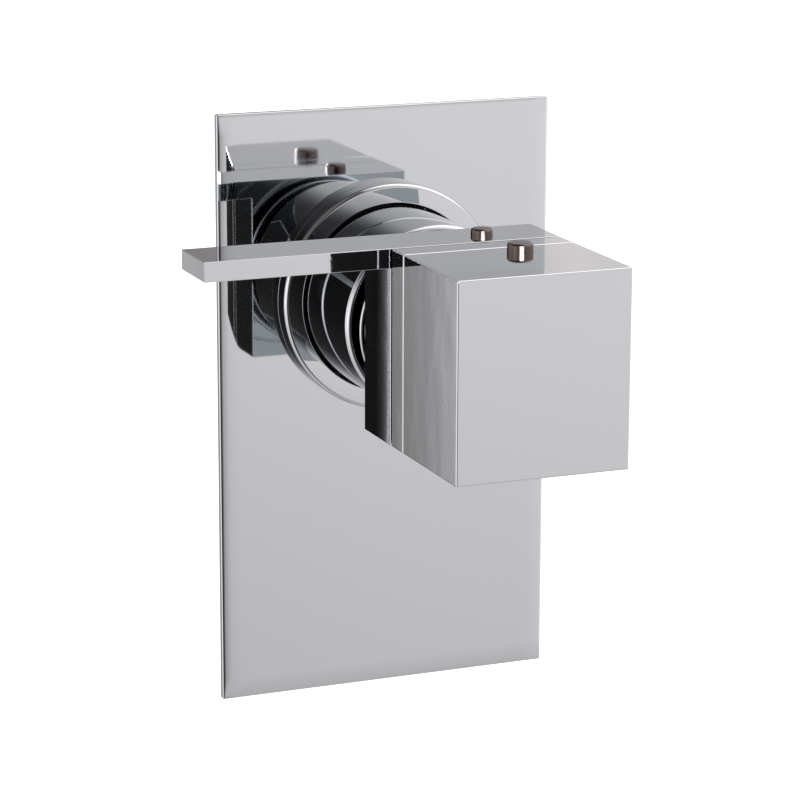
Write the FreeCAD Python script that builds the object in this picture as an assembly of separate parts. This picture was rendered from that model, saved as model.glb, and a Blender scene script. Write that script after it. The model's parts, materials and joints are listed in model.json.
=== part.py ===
"""Concealed thermostatic shower valve with a tall wall plate, a flow lever and a square temperature knob.

The origin is the centre of the plate's back, on the finished wall: X to the right, Y into the wall, Z up.
Everything with a negative Y is the trim that shows in the room, and what has a positive Y is built in.
The pieces are drawn about the valve's axis and moved up to its height at the end. Millimetres throughout.
"""
import FreeCAD, Part
import math
import os

V = FreeCAD.Vector
AXIS_X = V(1, 0, 0)
AXIS_Y = V(0, 1, 0)
AXIS_Z = V(0, 0, 1)

# ---- Clearances -------------------------------------------------------------------------------------
running = 0.06  # radial, between a turning or sliding piece and its guide
seated = 0.03  # between two pieces that are fixed together
gasket_gap = 0.05  # between a soft piece and what it lies on
over = 1.0  # how far a cut starts and ends outside the piece it is made in

# ---- Wall plate -------------------------------------------------------------------------------------
plate_width = 118.0
plate_top = 63.5  # above the valve's axis
plate_bottom = 136.5  # below the valve's axis
plate_depth = 2.5
plate_skin = 1.3
plate_rim = 2.5
plate_edge_radius = 1.0
plate_corner_radius = 0.8
plate_hole_gap = 1.8  # round the sleeve

# ---- Collar and sleeve ------------------------------------------------------------------------------
sleeve_wall = 1.6
sleeve_front = 47.2  # from the wall to the sleeve's front face
sleeve_tail = 8.0  # how far the sleeve reaches behind the wall face
sleeve_edge_radius = 1.5
sleeve_flange = 2.4
sleeve_ledge = 9.2  # from the sleeve's surface in to its mouth
collar_width = 7.2
collar_depth = 6.8
collar_edge_radius = 1.3
collar_slot = 0.8  # the dark slot between the collar and the sleeve
seal_width = 3.3
seal_depth = 3.6

# ---- Bearing cap between the sleeve and the lever ---------------------------------------------------
cap_setback = 1.7  # inside the sleeve's surface
cap_depth = 7.6
cap_edge_radius = 0.5
cap_spigot = 6.0

# ---- Lever ------------------------------------------------------------------------------------------
handle_width = 57.1
handle_height = 62.8
lever_gap = 1.4  # between the cap and the lever's block
lever_depth = 22.15
lever_reach = 89.0  # from the axis to the end of the bar
lever_bar_height = 6.3
lever_hub_radius = 17.0
lever_hub_depth = 7.8
lever_rear_wall = 4.6
lever_rear_boss_radius = 20.0
lever_boss_gap = 0.3
handle_wall = 3.0
handle_edge_radius = 0.7

# ---- Temperature knob -------------------------------------------------------------------------------
knob_gap = 1.15  # between the lever's block and the knob
carrier_depth = 9.2
carrier_web = 3.0
carrier_bore_gap = 1.0
carrier_lip = 1.4
carrier_lip_wall = 2.0
knob_depth = 42.4
knob_front_wall = 3.1
knob_seam_chamfer = 0.9
knob_hub_radius = 9.0
knob_hub_length = 22.0
knob_hub_drop = 16.0  # how far the hub's rib reaches below the axis
knob_hub_rib = 10.0
post_radius = 3.4
post_inset_x = 9.05
post_inset_z = 9.1
knob_screw_radius = 1.5
knob_screw_head_radius = 2.7
knob_screw_head = 1.8
knob_screw_length = 17.4
knob_screw_recess = 0.1

# ---- Push buttons -----------------------------------------------------------------------------------
button_offset = 6.8  # to the right of the axis
flow_button_radius = 3.55
flow_button_proud = 2.2
flow_button_travel = 1.6
temp_button_radius = 4.15
temp_button_proud = 3.0
temp_button_travel = 2.2
temp_button_setback = 8.3  # from the knob's seam to the button's axis
button_edge_radius = 0.9
button_flange = 1.0
button_flange_lip = 1.0
button_stem_radius = 1.8
button_stem_past = 0.6  # below the guide
guide_wall = 1.2
guide_floor = 1.6
guide_depth = 10.0
guide_clearance = 0.25
spring_clearance = 0.35
stop_ring_radius = 14.5
stop_ring_depth = 6.0
stop_lug_gap = 0.3  # between the pressed button's stem and the lug it passes
stop_lug_width = 6.0

# ---- Coaxial spindles -------------------------------------------------------------------------------
rod_radius = 4.0
stop_tube_radius = 7.0
flow_tube_radius = 10.0
flow_extension_radius = 12.5
flow_extension_tail = 2.0
flow_tube_front = -8.0
flow_socket_depth = 2.0
rod_tip_radius = 2.5
rod_joint = -4.0  # where the temperature spindle meets its extension
rod_tip_length = 7.5
rod_socket_length = 8.0
stop_tube_front_margin = 4.0  # past the temperature stop ring
small_groove = 2.0  # width of the grooves in the spindles
tube_seal_place = 0.0
tube_seal_minor = 0.7
tube_seal_inset = 0.67  # from the tube's surface to the middle of its ring
tube_groove_depth = 1.4
rod_seal_place = 5.0
rod_seal_minor = 0.65
rod_seal_inset = 0.63
rod_groove_depth = 1.3

# ---- Cartridge --------------------------------------------------------------------------------------
cartridge_radius = 20.0
cartridge_bore = 17.0
cartridge_rear_bore = 14.05
cartridge_front = 8.0
cartridge_end = 62.0
cartridge_front_wall = 4.0
cartridge_step = 43.0  # where the bore narrows
cartridge_flange_radius = 22.9
flange_gap = 0.15  # round the cartridge's flange
cartridge_flange_front = 14.0
cartridge_flange = 3.0
o_ring_minor = 0.96
o_ring_groove = 2.2
o_ring_places = (21.0, 34.0, 50.2, 58.0)
flow_seal_minor = 0.94
flow_seal_offset = 0.99  # from the spindle's surface to the middle of its ring
flow_seal_groove = 2.0
outlet_window = (25.0, 28.0)
hot_window = (44.0, 46.0)
cold_window = (53.2, 55.0)
hot_window_turn = 30.0
cold_window_turn = 90.0
window_width = 12.0
disc_radius = 15.5
disc_bore = 7.3
disc_thickness = 3.0
disc_film = 0.02
disc_port_radius = 2.4
disc_port_circle = 11.5
disc_port_turn = 45.0
flow_flange = 3.0
flow_flange_start = 13.0
disc_seal_thickness = 1.9
disc_seal_bore = 8.3
partition = 5.0
partition_radius = 16.97
partition_port_circle = 13.9
partition_port_radius = 1.8
guide_tube_radius = 12.0
guide_tube_bore = 10.06
guide_tube_length = 12.0
stop_tube_flange_radius = 10.0
stop_tube_flange = 2.0
shoulder_radius = 7.0
shoulder = 1.4
thread_radius = 5.0
thread_length = 8.5
nut_start = 34.6
nut_length = 6.0
overload_spring_length = 3.9
element_flange_radius = 7.5
element_flange = 2.0
element_radius = 3.5
element_length = 11.0
element_tip_radius = 1.0
shuttle_radius = 14.0
shuttle_wall = 2.0
shuttle_disc = 2.0
shuttle_length = 7.0
shuttle_holes = 6
shuttle_hole_radius = 2.0
return_spring_radius = 9.0
return_spring_wall = 2.0
end_cap = 3.0
end_cap_tail_gap = 0.3
end_cap_hole_radius = 1.6
end_cap_hole_offset = 2.4  # outside the return spring
clip_radius = 12.0
clip_thickness = 0.9
clip_groove_radius = 9.2
clip_setback = 0.5  # in front of the cartridge
clip_opening = 4.0

# ---- Cast body --------------------------------------------------------------------------------------
body_radius = 27.5
body_front = 14.0
body_tail_gap = 1.0  # behind the cartridge
body_rear_wall = 5.0
neck_wall = 2.45
neck_front = 2.0
bonnet_front = -2.0
bonnet_hex = 46.0  # across the flats
bonnet_rounding = 1.6  # of the corners, past the flats
bonnet_lip_radius = 13.5
bonnet_lip_end = 6.0
holder_width = 4.1  # from the neck to the sleeve's inside
holder_front = 3.0
holder_depth = 5.0
holder_notches = 6
holder_notch_radius = 1.6
port_radius = 13.0
port_hex = 28.0
port_hex_length = 12.0
port_rounding = 1.2  # of the corners, past the flats
port_thread_radius = 9.3
port_thread_length = 14.0
port_channel_radius = 6.0
port_channel_lead = 3.0  # how far the channel starts inside the cartridge's bore
port_root = 15.0  # where the outlets' necks start, inside the barrel's wall
outlet_depth = 27.0
outlet_reach_top = 48.0
outlet_reach_side = 50.0
leg_offset = 17.0
leg_radius = 13.5
leg_lead = 0.7  # of the legs' axis in front of the ring between hot and cold
leg_reach = 74.0
web_half = 4.0  # half the thickness of the web between the legs
hot_channel_lead = 3.7  # of the hot channel in front of the legs' axis
cold_channel_lag = 4.5  # of the cold channel behind it
leg_channel_radius = 3.2
leg_channel_lead = 1.5  # how far the channel reaches into the cartridge's bore

# ---- Check valves and strainers in the inlet legs ---------------------------------------------------
check_radius = 8.45
check_bore = 8.5
check_length = 12.0
check_wall = 1.95
check_seat_radius = 4.5
check_seat = 2.0
check_seat_gap = 0.1
poppet_radius = 5.6
poppet_thickness = 1.9
poppet_stem_radius = 1.6
poppet_stem_length = 7.0
spider = 1.5
spider_half = 2.6  # half the width of the stem's guide
spider_inset = 1.0
check_spring_radius = 4.0
check_spring_bore = 2.0
check_pocket = 21.0  # from the thread's end to the channel
strainer_length = 6.0
strainer_wall = 0.8
strainer_hole_radius = 0.8
strainer_rings = (0, 6, 12)
strainer_ring_pitch = 2.7

# ---- Mounting bracket -------------------------------------------------------------------------------
bracket_width = 66.0
bracket_height = 84.0
bracket_thickness = 2.5
bracket_hole_radius = 3.25
bracket_hole_x = 54.0
bracket_hole_z = 64.0
bracket_corner = 6.0
bracket_screw_offset = 15.0
bracket_screw_radius = 2.45
bracket_screw_head_radius = 4.5
bracket_screw_head = 3.0
bracket_screw_length = 6.0
bracket_screw_bite = 4.0  # how much of the screw is in the body's rear wall
bracket_screw_flats = 4.0
bracket_screw_socket = 1.8
bracket_screw_edge_radius = 1.0

# ---- Set screws -------------------------------------------------------------------------------------
set_screw_radius = 2.0
set_screw_length = 6.0
set_screw_socket_radius = 1.2
set_screw_socket = 2.0
set_screw_access_radius = 2.6
lever_screw_inset = 3.9  # from the lever's rear face
knob_screw_inset = 16.0  # from the inside of the knob's front wall


# ---- Stations along the axis, worked out from the sizes above ---------------------------------------
axis_height = (plate_bottom - plate_top) / 2  # of the valve's axis over the plate's centre
counterbore_radius = cartridge_flange_radius + flange_gap
neck_radius = counterbore_radius + neck_wall
sleeve_radius = neck_radius + holder_width + sleeve_wall
sleeve_mouth_radius = sleeve_radius - sleeve_ledge
plate_hole_radius = sleeve_radius + plate_hole_gap
collar_radius = sleeve_radius + collar_width
cap_radius = sleeve_radius - cap_setback
plate_front = -plate_depth
collar_front = plate_front - collar_depth
cap_front = -sleeve_front - cap_depth
lever_rear = cap_front - lever_gap
lever_front = lever_rear - lever_depth
lever_middle = (lever_rear + lever_front) / 2
carrier_rear = lever_front - knob_gap
knob_seam = carrier_rear - carrier_depth
knob_front = knob_seam - knob_depth
knob_cavity_end = knob_front + knob_front_wall
temp_button_place = knob_seam - temp_button_setback
handle_top = handle_height / 2
handle_side = handle_width / 2
inner_top = handle_top - handle_wall
rotating_disc_start = flow_flange_start + flow_flange
fixed_disc_start = rotating_disc_start + disc_thickness + disc_film
disc_seal_start = fixed_disc_start + disc_thickness + gasket_gap
partition_start = disc_seal_start + disc_seal_thickness + gasket_gap
partition_end = partition_start + partition
stop_flange_start = partition_end + gasket_gap
shoulder_start = stop_flange_start + stop_tube_flange + gasket_gap
thread_start = shoulder_start + shoulder
thread_end = thread_start + thread_length
nut_end = nut_start + nut_length
element_start = nut_end + gasket_gap + overload_spring_length + gasket_gap
element_body_start = element_start + element_flange
element_end = element_body_start + element_length
shuttle_start = element_body_start + gasket_gap
end_cap_start = cartridge_end - end_cap
return_spring_start = shuttle_start + shuttle_disc + gasket_gap
flow_stop_start = lever_middle - stop_ring_depth / 2
temp_stop_start = temp_button_place - stop_ring_depth / 2
stop_tube_front = temp_stop_start - stop_tube_front_margin
main_bore_start = cartridge_flange_front + cartridge_flange
main_bore_end = cartridge_end + body_tail_gap
body_end = main_bore_end + body_rear_wall
leg_depth = o_ring_places[2] - leg_lead
hot_channel_depth = leg_depth - hot_channel_lead
cold_channel_depth = leg_depth + cold_channel_lag


# ---- Shapes -----------------------------------------------------------------------------------------
def rod(radius, start, end, axis=AXIS_Y, x=0.0, y=0.0, z=0.0):
    """A round bar from start to end along an axis through x, y, z."""
    low = min(start, end)
    base = V(x, y, z) + axis * low
    return Part.makeCylinder(radius, abs(end - start), base, axis)


def tube(radius, bore, start, end, axis=AXIS_Y, x=0.0, y=0.0, z=0.0):
    """A round tube from start to end along an axis through x, y, z."""
    reach = abs(end - start)
    low = min(start, end) - reach
    high = max(start, end) + reach
    return rod(radius, start, end, axis, x, y, z).cut(rod(bore, low, high, axis, x, y, z))


def block(x0, x1, y0, y1, z0, z1):
    """A box between three pairs of bounds."""
    corner = V(min(x0, x1), min(y0, y1), min(z0, z1))
    return Part.makeBox(abs(x1 - x0), abs(y1 - y0), abs(z1 - z0), corner)


def hexagon(flats, start, end, axis=AXIS_Y, x=0.0, y=0.0, z=0.0):
    """A hexagonal bar with the given size across its flats."""
    corner = flats / math.sqrt(3)
    if axis == AXIS_Z:
        across, up = AXIS_X, AXIS_Y
    elif axis == AXIS_X:
        across, up = AXIS_Y, AXIS_Z
    else:
        across, up = AXIS_X, AXIS_Z
    base = V(x, y, z) + axis * min(start, end)
    points = []
    for i in range(7):
        turn = math.radians(60 * i)
        points.append(base + across * (corner * math.cos(turn)) + up * (corner * math.sin(turn)))
    face = Part.Face(Part.makePolygon(points))
    return face.extrude(axis * abs(end - start))


def fuse(*shapes):
    """One solid from several that touch or overlap."""
    whole = shapes[0]
    for shape in shapes[1:]:
        whole = whole.fuse(shape)
    return whole.removeSplitter()


def cut(shape, *tools):
    """A solid with each tool taken away."""
    for tool in tools:
        shape = shape.cut(tool)
    return shape


def edges_where(shape, wanted):
    """The edges whose middle point meets a condition."""
    found = []
    for edge in shape.Edges:
        middle = edge.valueAt((edge.FirstParameter + edge.LastParameter) / 2)
        if wanted(middle, edge):
            found.append(edge)
    return found


def near(a, b, slack=0.01):
    return abs(a - b) < slack


def turned(shape, angle=135.0):
    """A round shape turned about the valve's axis, so that its seam lies clear of the ports."""
    shape.rotate(V(0, 0, 0), AXIS_Y, angle)
    return shape


def ring_seal(major, minor, place, axis=AXIS_Y):
    """A round sealing ring about the valve's axis."""
    return Part.makeTorus(major, minor, axis * place, axis)


def around(count, radius, start=0.0):
    """Places evenly spread on a circle in the XZ plane."""
    places = []
    for i in range(count):
        turn = math.radians(start + 360.0 * i / count)
        places.append((radius * math.cos(turn), radius * math.sin(turn)))
    return places


# ---- Trim that shows --------------------------------------------------------------------------------
def wall_plate():
    """Pressed plate: rounded front edge, shallow pocket behind for its gasket, round hole for the sleeve."""
    side = plate_width / 2
    slab = block(-side, side, plate_front, 0, -plate_bottom, plate_top)
    corners = edges_where(slab, lambda p, e: near(abs(p.x), side) and near(p.y, plate_front / 2))
    slab = slab.makeFillet(plate_corner_radius, corners)
    front = edges_where(slab, lambda p, e: near(p.y, plate_front))
    slab = slab.makeFillet(plate_edge_radius, front)
    pocket = block(-side + plate_rim, side - plate_rim, plate_front + plate_skin, over,
                   -plate_bottom + plate_rim, plate_top - plate_rim)
    hole = rod(plate_hole_radius, plate_front - over, 1)
    return cut(slab, pocket, hole)


def plate_gasket():
    """Foam that fills the plate's pocket and lies on the wall."""
    side = plate_width / 2 - plate_rim - gasket_gap
    pad = block(-side, side, plate_front + plate_skin, 0,
                -plate_bottom + plate_rim + gasket_gap, plate_top - plate_rim - gasket_gap)
    return cut(pad, rod(plate_hole_radius, plate_front - over, 1))


def collar():
    """Round collar on the plate, recessed behind for the rubber ring that grips the sleeve."""
    ring = tube(collar_radius, sleeve_radius + collar_slot, collar_front, plate_front)
    rim = edges_where(
        ring, lambda p, e: near(p.y, collar_front) and e.BoundBox.XLength > 2 * collar_radius - over)
    ring = ring.makeFillet(collar_edge_radius, rim)
    recess = rod(sleeve_radius + seal_width, plate_front - seal_depth, plate_front + over)
    return cut(ring, recess)


def collar_seal():
    """Rubber ring in the collar's recess, dark in the slot round the sleeve."""
    return tube(sleeve_radius + seal_width - seated, sleeve_radius + seated,
                plate_front - seal_depth, plate_front)


def sleeve():
    """Tube that hides the cartridge, with a flange at its rounded front."""
    inner = sleeve_radius - sleeve_wall
    barrel = rod(sleeve_radius, -sleeve_front, sleeve_tail)
    rim = edges_where(barrel, lambda p, e: near(p.y, -sleeve_front))
    barrel = barrel.makeFillet(sleeve_edge_radius, rim)
    hollow = rod(inner, -sleeve_front + sleeve_flange, sleeve_tail + over)
    mouth = rod(sleeve_mouth_radius, -sleeve_front - over, 0)
    return cut(barrel, hollow, mouth)


def bearing_cap():
    """Cap on the sleeve's front in which the lever's tube turns."""
    disc = rod(cap_radius, cap_front, -sleeve_front)
    rim = edges_where(disc, lambda p, e: near(p.y, cap_front))
    disc = disc.makeFillet(cap_edge_radius, rim)
    spigot = rod(sleeve_mouth_radius - seated, -sleeve_front, -sleeve_front + cap_spigot)
    bore = rod(flow_extension_radius + running, cap_front - over, -sleeve_front + cap_spigot + over)
    return cut(fuse(disc, spigot), bore)


def handle_block(front, rear):
    """The square bar that the lever's block and the knob are made from."""
    return block(-handle_side, handle_side, front, rear, -handle_top, handle_top)


def set_screw_hole(place, start):
    """The threaded hole of a set screw and its way in from below."""
    thread = rod(set_screw_radius + seated, -handle_top, -start, AXIS_Z, 0, place)
    access = rod(set_screw_access_radius, -handle_top - over, -inner_top, AXIS_Z, 0, place)
    return fuse(thread, access)


def lever():
    """Block and flat bar in one casting, hollow towards the knob, with the hub of the flow spindle."""
    body = handle_block(lever_front, lever_rear)
    bar = block(-lever_reach, 0, lever_front, lever_rear, handle_top - lever_bar_height, handle_top)
    solid = fuse(body, bar)
    inside_corner = edges_where(
        solid, lambda p, e: near(p.x, -handle_side) and near(p.z, handle_top - lever_bar_height))
    outer = [e for e in solid.Edges if not any(e.isSame(i) for i in inside_corner)]
    solid = solid.makeFillet(handle_edge_radius, outer)
    pocket = block(-handle_side + handle_wall, handle_side - handle_wall, lever_front - over,
                   lever_rear - lever_rear_wall, -inner_top, inner_top)
    hub = rod(lever_hub_radius, lever_rear - lever_hub_depth, lever_rear - lever_rear_wall)
    boss = rod(lever_rear_boss_radius, lever_rear, cap_front - lever_boss_gap)
    bore = rod(flow_extension_radius + seated, lever_front - over, cap_front)
    button = rod(flow_button_radius + running, inner_top - over, handle_top + over, AXIS_Z,
                 button_offset, lever_middle)
    screw = set_screw_hole(lever_rear - lever_screw_inset, flow_extension_radius)
    return cut(fuse(cut(solid, pocket), hub, boss), bore, button, screw)


def post_places():
    """The four corners where the knob's shell and carrier are screwed together."""
    x = handle_side - post_inset_x
    z = handle_top - post_inset_z
    return [(-x, -z), (x, -z), (-x, z), (x, z)]


def knob_carrier():
    """Rear part of the knob: a closed back, posts for the screws and a lip that centres the shell."""
    body = handle_block(knob_seam, carrier_rear)
    body = body.makeFillet(handle_edge_radius, body.Edges)
    hollow = block(-handle_side + handle_wall, handle_side - handle_wall, knob_seam - over,
                   carrier_rear - carrier_web, -inner_top, inner_top)
    lip_x = handle_side - handle_wall - seated
    lip_z = inner_top - seated
    lip = block(-lip_x, lip_x, knob_seam - carrier_lip, carrier_rear - carrier_web, -lip_z, lip_z)
    lip_hollow = block(-lip_x + carrier_lip_wall, lip_x - carrier_lip_wall, knob_seam - carrier_lip - over,
                       carrier_rear - carrier_web, -lip_z + carrier_lip_wall, lip_z - carrier_lip_wall)
    shell = fuse(cut(body, hollow), cut(lip, lip_hollow))
    posts = []
    holes = []
    for x, z in post_places():
        posts.append(rod(post_radius, knob_seam, carrier_rear - carrier_web, AXIS_Y, x, 0, z))
        holes.append(rod(knob_screw_radius + seated, knob_seam - over, carrier_rear + over, AXIS_Y, x, 0, z))
        head_end = carrier_rear - knob_screw_recess - knob_screw_head
        holes.append(rod(knob_screw_head_radius + seated, head_end, carrier_rear + over, AXIS_Y, x, 0, z))
    bore = rod(stop_tube_radius + carrier_bore_gap, knob_seam - over, carrier_rear + over)
    return cut(fuse(shell, *posts), bore, *holes)


def knob_shell():
    """Hollow square front of the knob, with the hub that the temperature rod drives."""
    body = handle_block(knob_front, knob_seam)
    rear = edges_where(body, lambda p, e: near(p.y, knob_seam))
    body = body.makeChamfer(knob_seam_chamfer, rear)
    others = edges_where(body, lambda p, e: p.y < knob_seam - knob_seam_chamfer - 0.01)
    body = body.makeFillet(handle_edge_radius, others)
    cavity = block(-handle_side + handle_wall, handle_side - handle_wall, knob_cavity_end, knob_seam + over,
                   -inner_top, inner_top)
    hub_end = knob_cavity_end + knob_hub_length
    hub = rod(knob_hub_radius, knob_cavity_end, hub_end)
    rib = block(-knob_hub_rib / 2, knob_hub_rib / 2, knob_cavity_end, hub_end, -knob_hub_drop, 0)
    posts = []
    holes = []
    for x, z in post_places():
        posts.append(rod(post_radius, knob_cavity_end, knob_seam - gasket_gap, AXIS_Y, x, 0, z))
        end = carrier_rear - knob_screw_recess - knob_screw_head - knob_screw_length
        holes.append(rod(knob_screw_radius + seated, end - over, knob_seam + over, AXIS_Y, x, 0, z))
    bore = rod(rod_radius + seated, knob_cavity_end, hub_end + over)
    button = rod(temp_button_radius + running, inner_top - over, handle_top + over, AXIS_Z,
                 button_offset, temp_button_place)
    screw = set_screw_hole(knob_cavity_end + knob_screw_inset, rod_radius)
    return cut(fuse(cut(body, cavity), hub, rib, *posts), bore, button, screw, *holes)


def knob_screws():
    """Four screws that hold the knob's shell to its carrier."""
    screws = []
    for x, z in post_places():
        top = carrier_rear - knob_screw_recess
        under = top - knob_screw_head
        head = rod(knob_screw_head_radius, under, top, AXIS_Y, x, 0, z)
        shank = rod(knob_screw_radius, under - knob_screw_length, under, AXIS_Y, x, 0, z)
        socket = hexagon(knob_screw_radius * 2, top - knob_screw_head / 2, top + over, AXIS_Y, x, 0, z)
        screws.append(cut(fuse(head, shank), socket))
    return Part.makeCompound(screws)


def set_screw(place, start):
    """A hexagon-socket set screw pressed up against the spindle."""
    end = start + set_screw_length
    body = rod(set_screw_radius, -end, -start - seated, AXIS_Z, 0, place)
    socket = hexagon(set_screw_socket_radius * 2, -end - over, -end + set_screw_socket, AXIS_Z, 0, place)
    return cut(body, socket)


# ---- Push buttons with their guides, springs and stops ----------------------------------------------
def button(radius, proud, place):
    """Round button: a head through the handle's top, a flange that keeps it in and a stem."""
    top = handle_top + proud
    head = rod(radius, inner_top, top, AXIS_Z, button_offset, place)
    rim = edges_where(head, lambda p, e: near(p.z, top))
    head = head.makeFillet(button_edge_radius, rim)
    flange = rod(radius + button_flange_lip, inner_top - button_flange, inner_top, AXIS_Z,
                 button_offset, place)
    stem_end = inner_top - guide_depth - button_stem_past
    stem = rod(button_stem_radius, stem_end, inner_top - button_flange, AXIS_Z, button_offset, place)
    return fuse(head, flange, stem)


def button_guide(radius, place):
    """Cup under the handle's top wall in which the button slides."""
    bore = radius + button_flange_lip + guide_clearance
    floor = inner_top - guide_depth
    cup = rod(bore + guide_wall, floor, inner_top, AXIS_Z, button_offset, place)
    hollow = rod(bore, floor + guide_floor, inner_top + over, AXIS_Z, button_offset, place)
    hole = rod(button_stem_radius + running, floor - over, inner_top, AXIS_Z, button_offset, place)
    return cut(cup, hollow, hole)


def button_spring(radius, place):
    """Return spring between the guide's floor and the button's flange."""
    outer = radius + button_flange_lip - spring_clearance
    floor = inner_top - guide_depth + guide_floor
    return tube(outer, button_stem_radius + spring_clearance, floor, inner_top - button_flange,
                AXIS_Z, button_offset, place)


def stop_ring(start, travel):
    """Ring on the fixed tube with the lug that the button's stem passes."""
    ring = rod(stop_ring_radius, start, start + stop_ring_depth)
    pressed_end = inner_top - guide_depth - button_stem_past - travel
    lug_top = math.hypot(button_offset - button_stem_radius, pressed_end) - stop_lug_gap
    lug = block(-stop_lug_width / 2, stop_lug_width / 2, start, start + stop_ring_depth, 0, lug_top)
    lug = lug.common(rod(lug_top, start, start + stop_ring_depth))
    bore = rod(stop_tube_radius + seated, start - over, start + stop_ring_depth + over)
    return cut(fuse(ring, lug), bore)


# ---- Coaxial spindles -------------------------------------------------------------------------------
def flow_extension():
    """Tube that carries the lever's turn to the flow spindle."""
    front = lever_rear - lever_hub_depth + gasket_gap
    body = rod(flow_extension_radius, front, flow_extension_tail)
    bore = rod(stop_tube_radius + running, front - over, flow_extension_tail + over)
    socket = rod(flow_tube_radius + seated, flow_tube_front - flow_socket_depth, flow_extension_tail + over)
    return cut(body, bore, socket)


def flow_spindle():
    """Hollow spindle whose flange turns the ceramic disc."""
    stem = rod(flow_tube_radius, flow_tube_front, flow_flange_start)
    flange = rod(disc_radius, flow_flange_start, rotating_disc_start)
    bore = rod(stop_tube_radius + running, flow_tube_front - over, rotating_disc_start + over)
    clip_end = cartridge_front - clip_setback
    groove = tube(flow_tube_radius + over, clip_groove_radius, clip_end - clip_thickness - seated,
                  clip_end + seated)
    return cut(fuse(stem, flange), bore, groove)


def spindle_clip():
    """Open ring that keeps the flow spindle in the cartridge."""
    end = cartridge_front - clip_setback
    start = end - clip_thickness
    ring = tube(clip_radius, clip_groove_radius + seated, start, end)
    opening = block(-clip_opening / 2, clip_opening / 2, start - over, end + over, -clip_radius - over, 0)
    return cut(ring, opening)


def stop_tube():
    """Fixed tube through both handles that carries the stop rings."""
    stem = rod(stop_tube_radius, stop_tube_front, stop_flange_start)
    flange = rod(stop_tube_flange_radius, stop_flange_start, stop_flange_start + stop_tube_flange)
    bore = rod(rod_radius + running, stop_tube_front - over, stop_flange_start + stop_tube_flange + over)
    groove = tube(stop_tube_radius + over, stop_tube_radius - tube_groove_depth,
                  tube_seal_place - small_groove / 2, tube_seal_place + small_groove / 2)
    return cut(fuse(stem, flange), bore, groove)


def temp_spindle():
    """Temperature spindle: a tip for the extension, a shoulder and the thread that moves the nut."""
    tip = rod(rod_tip_radius, rod_joint - rod_tip_length, rod_joint)
    stem = rod(rod_radius, rod_joint, shoulder_start)
    disc = rod(shoulder_radius, shoulder_start, thread_start)
    thread = rod(thread_radius, thread_start, thread_end)
    groove = tube(rod_radius + over, rod_radius - rod_groove_depth,
                  rod_seal_place - small_groove / 2, rod_seal_place + small_groove / 2)
    return cut(fuse(tip, stem, disc, thread), groove)


def temp_extension():
    """Rod that carries the knob's turn to the temperature spindle."""
    front = knob_cavity_end + gasket_gap
    body = rod(rod_radius, front, rod_joint - gasket_gap)
    socket = rod(rod_tip_radius + seated, rod_joint - rod_socket_length, rod_joint + over)
    return cut(body, socket)


def tube_seals():
    """Sealing rings of the flow spindle and of the fixed tube."""
    groove_middle = cartridge_front + cartridge_front_wall / 2
    outer = ring_seal(flow_tube_radius + flow_seal_offset, flow_seal_minor, groove_middle)
    inner = ring_seal(stop_tube_radius - tube_seal_inset, tube_seal_minor, tube_seal_place)
    return Part.makeCompound([outer, inner])


def rod_seal():
    """Sealing ring of the temperature spindle."""
    return ring_seal(rod_radius - rod_seal_inset, rod_seal_minor, rod_seal_place)


# ---- Cartridge --------------------------------------------------------------------------------------
def radial_windows(span, count, start=0.0):
    """Boxes that open a wall in several directions round the axis."""
    windows = []
    for i in range(count):
        window = block(0, cartridge_radius + over, span[0], span[1], -window_width / 2, window_width / 2)
        windows.append(window.rotate(V(0, 0, 0), AXIS_Y, start + 360.0 * i / count))
    return windows


def cartridge_body():
    """Cartridge housing with grooves for its seals and windows for hot, cold and mixed water."""
    barrel = rod(cartridge_radius, cartridge_front, cartridge_end)
    flange = rod(cartridge_flange_radius, cartridge_flange_front, main_bore_start)
    body = fuse(barrel, flange)
    wall_end = cartridge_front + cartridge_front_wall
    front_bore = rod(cartridge_bore, wall_end, cartridge_step)
    rear_bore = rod(cartridge_rear_bore, cartridge_step - over, cartridge_end + over)
    spindle_bore = rod(flow_tube_radius + running, cartridge_front - over, wall_end + over)
    middle = cartridge_front + cartridge_front_wall / 2
    inner_groove = rod(flow_tube_radius + flow_seal_groove, middle - o_ring_groove / 2,
                       middle + o_ring_groove / 2)
    body = cut(body, front_bore, rear_bore, spindle_bore, inner_groove)
    for place in o_ring_places:
        low = place - o_ring_groove / 2
        high = place + o_ring_groove / 2
        body = cut(body, tube(cartridge_radius + over, cartridge_radius - 2 * o_ring_minor, low, high))
    windows = radial_windows(outlet_window, 4)
    windows += radial_windows(hot_window, 3, hot_window_turn)
    windows += radial_windows(cold_window, 3, cold_window_turn)
    return cut(body, *windows)


def cartridge_seals():
    """Sealing rings between the cartridge and the cast body."""
    major = cartridge_radius - o_ring_minor + running / 2
    rings = []
    for place in o_ring_places:
        rings.append(ring_seal(major, o_ring_minor, place))
    return Part.makeCompound(rings)


def ceramic_disc(start, ports):
    """Flat ceramic ring with its water ports."""
    disc = tube(disc_radius, disc_bore, start, start + disc_thickness)
    for x, z in ports:
        disc = cut(disc, rod(disc_port_radius, start - over, start + disc_thickness + over, AXIS_Y, x, 0, z))
    return disc


def disc_seal():
    """Rubber ring that presses the fixed disc against the turning one."""
    seal = tube(disc_radius, disc_seal_bore, disc_seal_start, disc_seal_start + disc_seal_thickness)
    for x, z in around(4, disc_port_circle, disc_port_turn):
        seal = cut(seal, rod(disc_port_radius, disc_seal_start - over, partition_start, AXIS_Y, x, 0, z))
    return seal


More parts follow.
